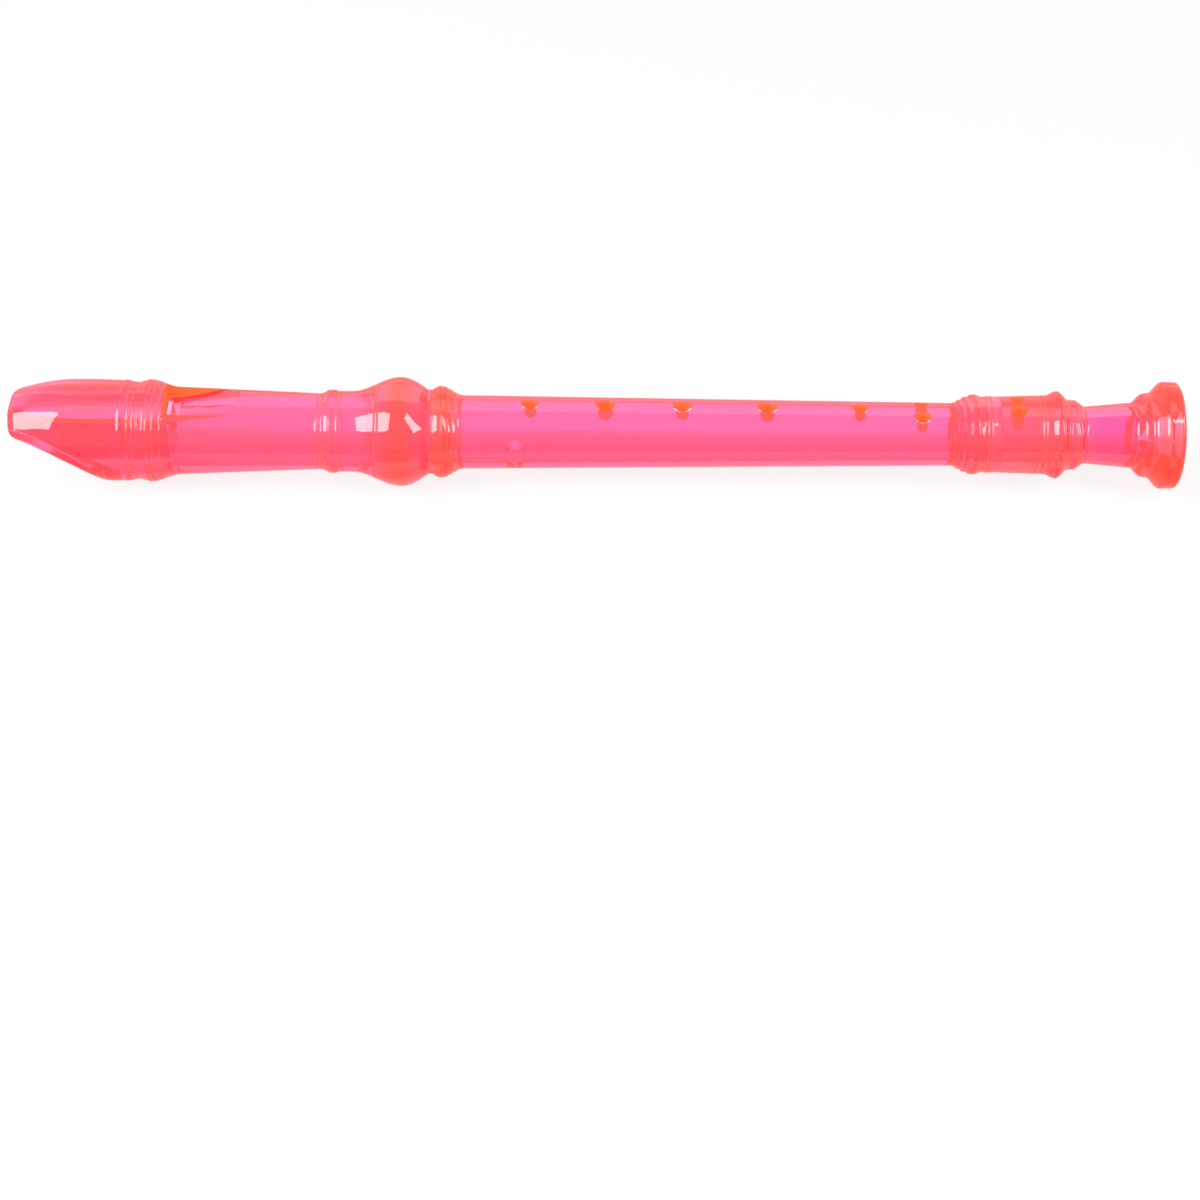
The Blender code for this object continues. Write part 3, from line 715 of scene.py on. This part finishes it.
def cut(piece, tool, operation="DIFFERENCE"):
    """Cut a piece with a tool, apply the cut and put the tool away."""
    step = piece.modifiers.new("cut", "BOOLEAN")
    step.operation = operation
    step.solver = "EXACT"
    step.object = tool
    bpy.ops.object.select_all(action="DESELECT")
    bpy.context.view_layer.objects.active = piece
    piece.select_set(True)
    bpy.ops.object.modifier_apply(modifier="cut")
    bpy.data.objects.remove(tool)
    bpy.ops.object.mode_set(mode="EDIT")
    bpy.ops.mesh.select_all(action="SELECT")
    bpy.ops.mesh.remove_doubles(threshold=CUT_MERGE)
    bpy.ops.object.mode_set(mode="OBJECT")


def copy_of(piece, name):
    """A copy of a piece with a mesh of its own."""
    made = piece.copy()
    made.data = piece.data.copy()
    made.name = name
    bpy.context.scene.collection.objects.link(made)
    return made


print("cuts are merged at", CUT_MERGE, "m")

# %% [markdown]
# When a piece is finished, its walls and rims get materials of their own. Lines and inside faces
# become clear plastic again, and two attributes keep their marks for the plastic to read. Then
# the piece takes the place of its solid and moves with the solid's body.

# %% Finishing a piece
SHARP_ANGLE = math.radians(32)
LINE_SHARE = 0.5


def finish_piece(piece, plastic, wall, body, node):
    """Give a piece its plastic, walls, marks and shading, and tie it to the frame."""
    marks = [face.material_index for face in piece.data.polygons]
    for name, kind, value in (("line_glow", LINE, LINE_SHARE), ("inside", INSIDE, 1.0)):
        piece.data.attributes.new(name, "FLOAT", "FACE")
        shares = [value if found == kind else 0.0 for found in marks]
        piece.data.attributes[name].data.foreach_set("value", shares)
    piece.data.materials.clear()
    for material in (plastic, wall, painted_rim_glint):
        piece.data.materials.append(material)
    for face, found in zip(piece.data.polygons, marks):
        face.material_index = MATERIAL_OF_MARK[found]
    bpy.ops.object.select_all(action="DESELECT")
    bpy.context.view_layer.objects.active = piece
    piece.select_set(True)
    bpy.ops.object.material_slot_remove_unused()
    bpy.ops.object.shade_smooth_by_angle(angle=SHARP_ANGLE)
    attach(piece, body)
    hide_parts(node)
    print(piece.name, len(piece.data.polygons), "faces,", marks.count(WALL), "of them cut walls")


print("bench ready")

# %% [markdown]
# ## The head joint: outside
# Behind the beak come a collar, two rings, the barrel with the window, a small ring and the big
# bulge that holds the socket. All of it is one outline, turned on the lathe. The beak is at first
# a plain cone.

# %% Turn the head
BEAK_LENGTH = 24.0
COLLAR_LENGTH = 7.6
COLLAR_RADIUS = 14.3
BULGE_RADIUS = BORE_Z / MM
HEAD_LENGTH = 116.8
TIP_NARROWING = 3.1
TIP_RADIUS = COLLAR_RADIUS - TIP_NARROWING
BEAK_SWELL_LENGTH = 18.0
TIP_ROUNDING = 2.8
TIP_STEPS = 8
BEAK_STEPS = 44
COLLAR_STEPS = 9
COLLAR_STEP_LENGTH = 0.7
COLLAR_STEP_FALL = 0.027

tip_stations = [TIP_ROUNDING * CURVES["fall"](step / TIP_STEPS) for step in range(TIP_STEPS)]
beak_run = BEAK_LENGTH - TIP_ROUNDING
beak_stations = [TIP_ROUNDING + beak_run * step / BEAK_STEPS for step in range(BEAK_STEPS)]
beak_cone = []
for station in tip_stations + beak_stations:
    swelling = CURVES["swell"](min(station / BEAK_SWELL_LENGTH, 1))
    beak_cone.append((station, COLLAR_RADIUS - TIP_NARROWING * (1 - swelling)))
collar = []
for step in range(COLLAR_STEPS):
    radius = COLLAR_RADIUS - COLLAR_STEP_FALL * (step + 1)
    collar.append((COLLAR_STEP_LENGTH, radius, "line"))
head_outline = beak_cone + mouldings(BEAK_LENGTH, COLLAR_RADIUS, collar + [
    (0.5, 13.95, "fall"),
    (0.8, 14.15, "ogee"),
    (3.2, 13.58, "ogee"),
    (1.2, 13.64, "line"),
    (0.7, 13.95, "ogee"),
    (0.7, 14.0, "line"),
    (0.5, 14.22, "ogee"),
    (0.4, 14.3, "swell"),
    (8.6, 12.2, "ogee"),
    (38.7, 10.6, "line"),
    (3.4, 11.7, "ogee"),
    (2.8, 11.28, "ogee"),
    (2.8, 11.28, "line"),
    (13.6, BULGE_RADIUS, "ogee"),
    (7.7, 11.8, "fall"),
    (0.9, 11.8, "line"),
])
HEAD_LINES = [33.6, 35.0, 38.9, 40.5, 42.5, 85.2, 86.4, 87.2, 88.9, 90.9, 101.7, 102.6]
head_outline = score(head_outline, HEAD_LINES)
head = turn_on_bore("head", [(0, 0)] + head_outline + [(HEAD_LENGTH, 0)])
print("head turned:", len(head.data.vertices), "points")

# %% [markdown]
# The beak has a round hollow below, for the chin, and a sloping roof above. Every point of its
# rings is moved in: up to the hollow, down to the roof. A Boolean with a big cylinder would leave
# a knife edge there, which a bevel rounds badly. With the points moved in code, the edge between
# the hollow and the sides stays softly rounded.

# %% Carve the beak
HOLLOW_RADIUS = 34.5
HOLLOW_LEAD = 3.6
LIP_HEIGHT = 5.3
TIP_ROOF_HEIGHT = 9.9
ROOF_SLOPE = 0.5
TIP_NARROW_SHARE = 0.4
TIP_THIN_SHARE = 0.25
EDGE_SHARPNESS = 12
ON_AXIS = 0.001
LEVEL = 0.00001
hollow_centre = LIP_HEIGHT - math.sqrt(HOLLOW_RADIUS ** 2 - HOLLOW_LEAD ** 2)


def beak_section(station, radius):
    """Heights of hollow and roof at a station, and the middle and half sizes between them."""
    reach = HOLLOW_RADIUS ** 2 - (station + HOLLOW_LEAD) ** 2
    low = hollow_centre + (math.sqrt(reach) if reach > 0 else -HOLLOW_RADIUS)
    high = TIP_ROOF_HEIGHT + ROOF_SLOPE * station
    bottom = max(low, -radius)
    top = min(high, radius)
    middle = (top + bottom) / 2
    return low, high, middle, (top - bottom) / 2, math.sqrt(radius ** 2 - middle ** 2)


def carved(station, radius, turn):
    """Place (across, height) of a point of the beak that was turned to an angle from the top."""
    low, high, middle, half_height, half_width = beak_section(station, radius)
    ray = Vector((half_width * math.sin(turn), half_height * math.cos(turn))).normalized()
    reach = math.sqrt(radius ** 2 - (middle * ray.x) ** 2) - middle * ray.y
    if abs(ray.y) > LEVEL:
        flat = abs(((high if ray.y > 0 else low) - middle) / ray.y)
        reach = (reach ** -EDGE_SHARPNESS + flat ** -EDGE_SHARPNESS) ** (-1 / EDGE_SHARPNESS)
    blunt = max(1 - station / TIP_ROUNDING, 0)
    blunt = 1 - math.sqrt(1 - blunt ** 2)
    across = reach * ray.x * (1 - TIP_NARROW_SHARE * blunt)
    return across, middle + reach * ray.y * (1 - TIP_THIN_SHARE * blunt)


for vertex in head.data.vertices:
    station = (vertex.co.x - TIP_X) / MM
    if station > BEAK_LENGTH + COLLAR_LENGTH:
        continue
    across = vertex.co.y / MM
    height = (vertex.co.z - BORE_Z) / MM
    radius = math.hypot(across, height)
    if radius < ON_AXIS:
        new_across = 0
        new_height = beak_section(station, TIP_RADIUS)[2]
    else:
        new_across, new_height = carved(station, radius, math.atan2(across, height))
    vertex.co = place(station, new_height, new_across)
solid_head = copy_of(head, "solid_head")
print(f"beak carved, hollow about a centre {-hollow_centre:.1f} mm below the bore")

# %% [markdown]
# ## The head joint: inside
# From the foot end the head is bored out, with a wider socket for the tenon. From the beak end
# a chamber takes the block. The windway is a flat slot over the block, and it ends at the
# window. Each is one cutter, so that the walls meet as cleanly as in the mould.

# %% Bore, chamber and windway
CUT_CLEAR = 4.0
SOCKET_BOTTOM = 101.9
SOCKET_RADIUS = 8.85
HEAD_BORE_RADIUS = 6.7
WINDWAY_EXIT = 43.2
BLOCK_END = 44.1
CHAMBER_RADIUS = 8.3
WINDWAY_WIDTH = 11.0
ENTRY_FLOOR, EXIT_FLOOR = 6.7, 6.15
ENTRY_ROOF, EXIT_ROOF = 8.2, 7.35
SLOT_OVERLAP = 0.5
SLOT_RUN_OUT = 0.45
CHAMBER_GAP = 0.3
ABOVE = COLLAR_RADIUS + CUT_CLEAR


def windway_level(station, entry, exit_level):
    """Height of the windway's floor or roof at a station."""
    return entry + (exit_level - entry) * station / WINDWAY_EXIT


bore = turn_on_bore("bore", [
    (HEAD_LENGTH + CUT_CLEAR, 0),
    (HEAD_LENGTH + CUT_CLEAR, SOCKET_RADIUS),
    (SOCKET_BOTTOM, SOCKET_RADIUS),
    (SOCKET_BOTTOM, HEAD_BORE_RADIUS),
    (WINDWAY_EXIT - CUT_CLEAR, HEAD_BORE_RADIUS),
    (WINDWAY_EXIT - CUT_CLEAR, 0),
])
mark(bore, lambda face: INSIDE)
mark(head, lambda face: WALL if face.normal.x > SQUARE else CLEAR)
mark_lines(head, HEAD_LINES)
cut(head, bore)

front = -CUT_CLEAR
back = BLOCK_END + CUT_CLEAR
chamber = turn_on_bore("chamber", [
    (front, 0),
    (front, CHAMBER_RADIUS),
    (BLOCK_END + CHAMBER_GAP, CHAMBER_RADIUS),
    (BLOCK_END + CHAMBER_GAP, 0),
])
flat_top = draw_slab("flat_top", [
    (2 * front, windway_level(2 * front, ENTRY_FLOOR, EXIT_FLOOR) + SLOT_OVERLAP),
    (back, windway_level(back, ENTRY_FLOOR, EXIT_FLOOR) + SLOT_OVERLAP),
    (back, ABOVE),
    (2 * front, ABOVE),
], 2 * ABOVE)
cut(chamber, flat_top)
mark(chamber, lambda face: INSIDE)
cut(head, chamber)

slot_end = WINDWAY_EXIT + SLOT_RUN_OUT
windway = draw_slab("windway", [
    (front, windway_level(front, ENTRY_FLOOR, EXIT_FLOOR)),
    (slot_end, windway_level(slot_end, ENTRY_FLOOR, EXIT_FLOOR)),
    (slot_end, windway_level(slot_end, ENTRY_ROOF, EXIT_ROOF)),
    (front, windway_level(front, ENTRY_ROOF, EXIT_ROOF)),
], WINDWAY_WIDTH)
mark(windway, lambda face: WALL if abs(face.normal.y) > SIDEWAYS else INSIDE)
cut(head, windway)
print("head bored:", len(head.data.vertices), "points")

# %% [markdown]
# Behind the window a ramp leads up from the sharp lip that splits the air, and below the lip the
# bore is cut away to thin it. The walls of the window flare outwards and glow orange, and the
# ramp between them stays pink. A plain slab with its sides moved apart towards the top cuts ramp
# and walls at once.

# %% Window and ramp
LABIUM_STATION = 47.1
LABIUM_TOP = 7.3
RAMP_ANGLE = math.radians(12.0)
RAMP_END = 63.4
END_LEAN = math.radians(40.0)
WALL_FLARE = math.radians(13.0)
UNDERCUT_LENGTH = 9.0
UNDERCUT_HEIGHT = 6.2
UNDERCUT_WIDTH = 8.0
WINDOW_OVERLAP = 1.0

ramp_top = LABIUM_TOP + (RAMP_END - LABIUM_STATION) * math.tan(RAMP_ANGLE)
ramp = draw_slab("ramp", [
    (WINDWAY_EXIT, LABIUM_TOP),
    (LABIUM_STATION, LABIUM_TOP),
    (RAMP_END, ramp_top),
    (RAMP_END + (ABOVE - ramp_top) * math.tan(END_LEAN), ABOVE),
    (WINDWAY_EXIT, ABOVE),
], WINDWAY_WIDTH)
for vertex in ramp.data.vertices:
    rise = (vertex.co.z - BORE_Z) / MM - LABIUM_TOP
    widened = WINDWAY_WIDTH / 2 + rise * math.tan(WALL_FLARE)
    vertex.co.y = math.copysign(widened * MM, vertex.co.y)


def side_of_ramp(face):
    """The side walls and the wall over the windway are cut walls, the ramp stays clear."""
    is_wall = abs(face.normal.y) > SIDEWAYS or face.normal.x < -SQUARE
    return WALL if is_wall else CLEAR


mark(ramp, side_of_ramp)
cut(head, ramp)

window = draw_slab("window", [
    (WINDWAY_EXIT, 0),
    (LABIUM_STATION, 0),
    (LABIUM_STATION, LABIUM_TOP + WINDOW_OVERLAP),
    (WINDWAY_EXIT, LABIUM_TOP + WINDOW_OVERLAP),
], WINDWAY_WIDTH)
mark(window, lambda face: INSIDE)
cut(head, window)

undercut = draw_slab("undercut", [
    (BLOCK_END, 0),
    (LABIUM_STATION + UNDERCUT_LENGTH, 0),
    (LABIUM_STATION, UNDERCUT_HEIGHT),
    (BLOCK_END, UNDERCUT_HEIGHT),
], UNDERCUT_WIDTH)
mark(undercut, lambda face: INSIDE)
cut(head, undercut)
finish_piece(head, head_plastic, edge_wall, "head", "head_joint")

# %% [markdown]
# ## The block
# The block is a round plug with a flat top, the floor of the windway. Its inner end is bevelled
# so that the air leaves cleanly. It was pressed into the beak before the hollow was cut, so its
# underside follows the hollow: here it is intersected with the copy of the carved head.

# %% Make the block
BLOCK_GAP = 0.25
BLOCK_RADIUS = CHAMBER_RADIUS - BLOCK_GAP
BEVEL_RISE = 0.3

block = turn_on_bore("block_plug", [
    (front, 0),
    (front, BLOCK_RADIUS),
    (BLOCK_END, BLOCK_RADIUS),
    (BLOCK_END, 0),
])
over_floor = draw_slab("over_floor", [
    (2 * front, windway_level(2 * front, ENTRY_FLOOR, EXIT_FLOOR)),
    (WINDWAY_EXIT, EXIT_FLOOR),
    (back, EXIT_FLOOR - (back - WINDWAY_EXIT)),
    (back, ABOVE),
    (2 * front, ABOVE),
], 2 * ABOVE)
cut(block, over_floor)
cut(block, solid_head, "INTERSECT")


def side_of_block(face):
    """Only the bevel at the inner end gets the painted glint."""
    is_bevel = face.normal.x > SIDEWAYS and face.normal.z > BEVEL_RISE
    return WALL if is_bevel else CLEAR


mark(block, side_of_block)
finish_piece(block, block_plastic, painted_bevel_glint, "head", "block")

# %% [markdown]
# ## The middle joint
# The middle joint tapers towards the foot. It has a tenon at each end and a bead with fine
# lines where the head joint ends. Its finger holes are drilled straight down and have a wide,
# shallow rim for the finger tip. The sixth hole is doubled, and the thumb hole is below.

# %% Turn the middle joint
middle_outline = mouldings(117.1, 11.85, [
    (2.4, 12.85, "swell"),
    (6.4, 10.25, "ogee"),
    (136.1, 8.76, "line"),
])
MIDDLE_LINES = [120.1, 121.7, 122.9, 124.2]
middle_outline = score(middle_outline, MIDDLE_LINES)
TENON_ROOT_END = 263.2
TOUCH = 0.01
upper_tenon = [(102.6, 6.2), (102.6, 8.0), (103.2, 8.6), (117.1, 8.6)]
lower_tenon = [(262.0, 7.6), (TENON_ROOT_END, 7.6), (271.6, 7.6), (272.2, 7.0), (272.2, 4.9)]
middle = turn_on_bore("middle", upper_tenon + middle_outline + lower_tenon + upper_tenon[:1])
shoulder = middle_outline[0][0]
lower_end = middle_outline[-1][0]


def side_of_middle(face):
    """Tenons and bore are inside, shoulders and tenon root are walls, the rest is outside."""
    station = station_of(face)
    if abs(face.normal.x) > SQUARE and shoulder - TOUCH < station < lower_end + TOUCH:
        return WALL
    if looks_out(face) and lower_end < station < TENON_ROOT_END:
        return WALL
    on_body = shoulder <= station <= lower_end
    return CLEAR if on_body and looks_out(face) else INSIDE


mark(middle, side_of_middle)
mark_lines(middle, MIDDLE_LINES)
print("middle turned:", len(middle.data.vertices), "points")

# %% [markdown]
# ## The finger holes
# A hole's cutter is turned, too, about an upright axis: a wide cone for the rim over a straight
# drill. Every hole has its own widths, so one function draws them all. The near edge of a rim
# catches the light and gets a painted highlight. The thumb hole lies in the shade below, so its
# wall stays clear.

# %% A cutter for holes
HOLE_FACETS = 48
RIM_DEPTH = 0.8
CONE_SLOPE = 0.2
NEAR_SHARE = 0.25


def hole_cutter(name, station, rim, width, surface, turn=0, lean=0, wall=WALL, near_rim=RIM):
    """A drill with a countersinking cone, leaned about its mouth and turned round the bore."""
    flare = (rim - width) / 2 / RIM_DEPTH
    outline = [
        (0, 0),
        (0, width / 2),
        (surface - RIM_DEPTH, width / 2),
        (surface + CUT_CLEAR, rim / 2 + flare * CUT_CLEAR),
        (surface + CUT_CLEAR, 0),
    ]

    def is_near_rim(face):
        """Whether a face of the cone is on the near side, where the rim catches the light."""
        return abs(face.normal.z) > CONE_SLOPE and face.center.y < -NEAR_SHARE * rim * MM

    made = draw_line(name, [place(station + radius, height) for height, radius in outline])
    bpy.ops.mesh.spin(
        steps=HOLE_FACETS, angle=2 * math.pi, center=place(station, 0), axis=(0, 0, 1)
    )
    close_up()
    mark(made, lambda face: near_rim if is_near_rim(face) else wall)
    bpy.ops.object.mode_set(mode="EDIT")
    bpy.ops.mesh.select_all(action="SELECT")
    mouth = place(station, surface)
    bpy.ops.transform.rotate(value=lean, orient_axis="X", center_override=mouth)
    bpy.ops.transform.rotate(value=turn, orient_axis="X", center_override=BORE_CENTRE)
    bpy.ops.object.mode_set(mode="OBJECT")
    return made


print("hole cutter ready:", HOLE_FACETS, "facets")

# %% [markdown]
# Five single holes lie along the top, and the thumb hole is opposite. Their stations and widths
# are kept in one table. The thumb hole uses the same cutter, turned half way round the bore.

# %% Drill the single holes
FINGER_HOLES = {
    "hole_1": (144.5, 5.0, 3.2),
    "hole_2": (165.4, 5.4, 4.0),
    "hole_3": (186.8, 5.6, 3.4),
    "hole_4": (210.4, 5.7, 3.9),
    "hole_5": (236.2, 4.5, 3.0),
}
for name, (station, rim, width) in FINGER_HOLES.items():
    cut(middle, hole_cutter(name, station, rim, width, radius_at(middle_outline, station)))

THUMB_STATION, THUMB_RIM, THUMB_WIDTH = 140.0, 5.6, 4.4
thumb_surface = radius_at(middle_outline, THUMB_STATION)
cut(middle, hole_cutter(
    "thumb", THUMB_STATION, THUMB_RIM, THUMB_WIDTH, thumb_surface, math.pi,
    wall=INSIDE, near_rim=INSIDE,
))
print("drilled:", ", ".join(FINGER_HOLES), "and the thumb hole")

# %% [markdown]
# ## The double holes
# The lowest two holes are pairs of small holes, side by side, for the half tones. They are turned
# apart round the bore. Upright walls would look too long through the plastic, and walls that
# point at the bore's axis too short, so these lean halfway.

# %% Drill a pair of holes
UPRIGHT_SHARE = 0.5


def drill_pair(piece, outline, name, station, rim, width, web, near_rim=RIM):
    """Two small holes side by side, turned apart so that a web is left between their rims."""
    surface = radius_at(outline, station)
    turn = math.asin((rim + web) / 2 / surface)
    for side in (-1, 1):
        cut(piece, hole_cutter(
            name, station, rim, width, surface, side * turn, -UPRIGHT_SHARE * side * turn,
            near_rim=near_rim,
        ))


drill_pair(middle, middle_outline, "hole_6", 253.4, 4.5, 3.0, web=1.6)
finish_piece(middle, middle_plastic, edge_wall, "middle", "middle_joint")

# %% [markdown]
# ## The foot joint
# The foot is the most turned piece of all: a cone, a groove, a bead, the drum with the last
# pair of holes, a ring, a narrow waist and the wide bell. Fine paired lines run round the cone,
# the drum and the bell. The bore flares at the mouth.

# %% Turn the foot joint
foot_outline = mouldings(262.3, 8.8, [
    (0.9, 9.1, "line"),
    (0.5, 9.6, "ogee"),
    (0.9, 9.75, "line"),
    (0.6, 10.4, "ogee"),
    (1.2, 10.6, "line"),
    (0.8, 11.1, "ogee"),
    (1.1, 11.2, "swell"),
    (2.4, 10.55, "ogee"),
    (1.6, 10.75, "ogee"),
    (2.1, 10.6, "ogee"),
    (13.8, 11.05, "line"),
    (3.2, 12.2, "ogee"),
    (3.4, 9.75, "ogee"),
    (1.3, 9.75, "line"),
    (3.4, 7.95, "ogee"),
    (12.4, 9.05, "line"),
    (3.7, 11.65, "ogee"),
    (1.2, 11.85, "line"),
    (4.1, 14.95, "ogee"),
    (3.3, 14.85, "line"),
    (0.8, 14.05, "fall"),
])
FOOT_LINES = [269.1, 271.3, 272.4, 286.4, 287.4, 292.2, 293.6, 295.9, 297.2, 316.7]
foot_outline = score(foot_outline, FOOT_LINES)
FLARE_START = 303.0
foot_inside = [(325.0, 6.6), (FLARE_START, 5.1), (275.4, 5.1), (275.4, 7.85), (262.3, 7.85)]
foot = turn_on_bore("foot", foot_outline + foot_inside + foot_outline[:1])


def side_of_foot(face):
    """Both end rings are walls, the bore and the socket up to the flare are inside."""
    ends = (foot_outline[0][0], foot_outline[-1][0])
    from_end = min(abs(station_of(face) - end) for end in ends)
    if abs(face.normal.x) > SQUARE and from_end < TOUCH:
        return WALL
    return CLEAR if looks_out(face) or station_of(face) > FLARE_START else INSIDE


mark(foot, side_of_foot)
mark_lines(foot, FOOT_LINES)
drill_pair(foot, foot_outline, "hole_7", 280.0, 4.4, 3.0, web=0.7, near_rim=WALL)
finish_piece(foot, foot_plastic, edge_wall, "foot", "foot_joint")
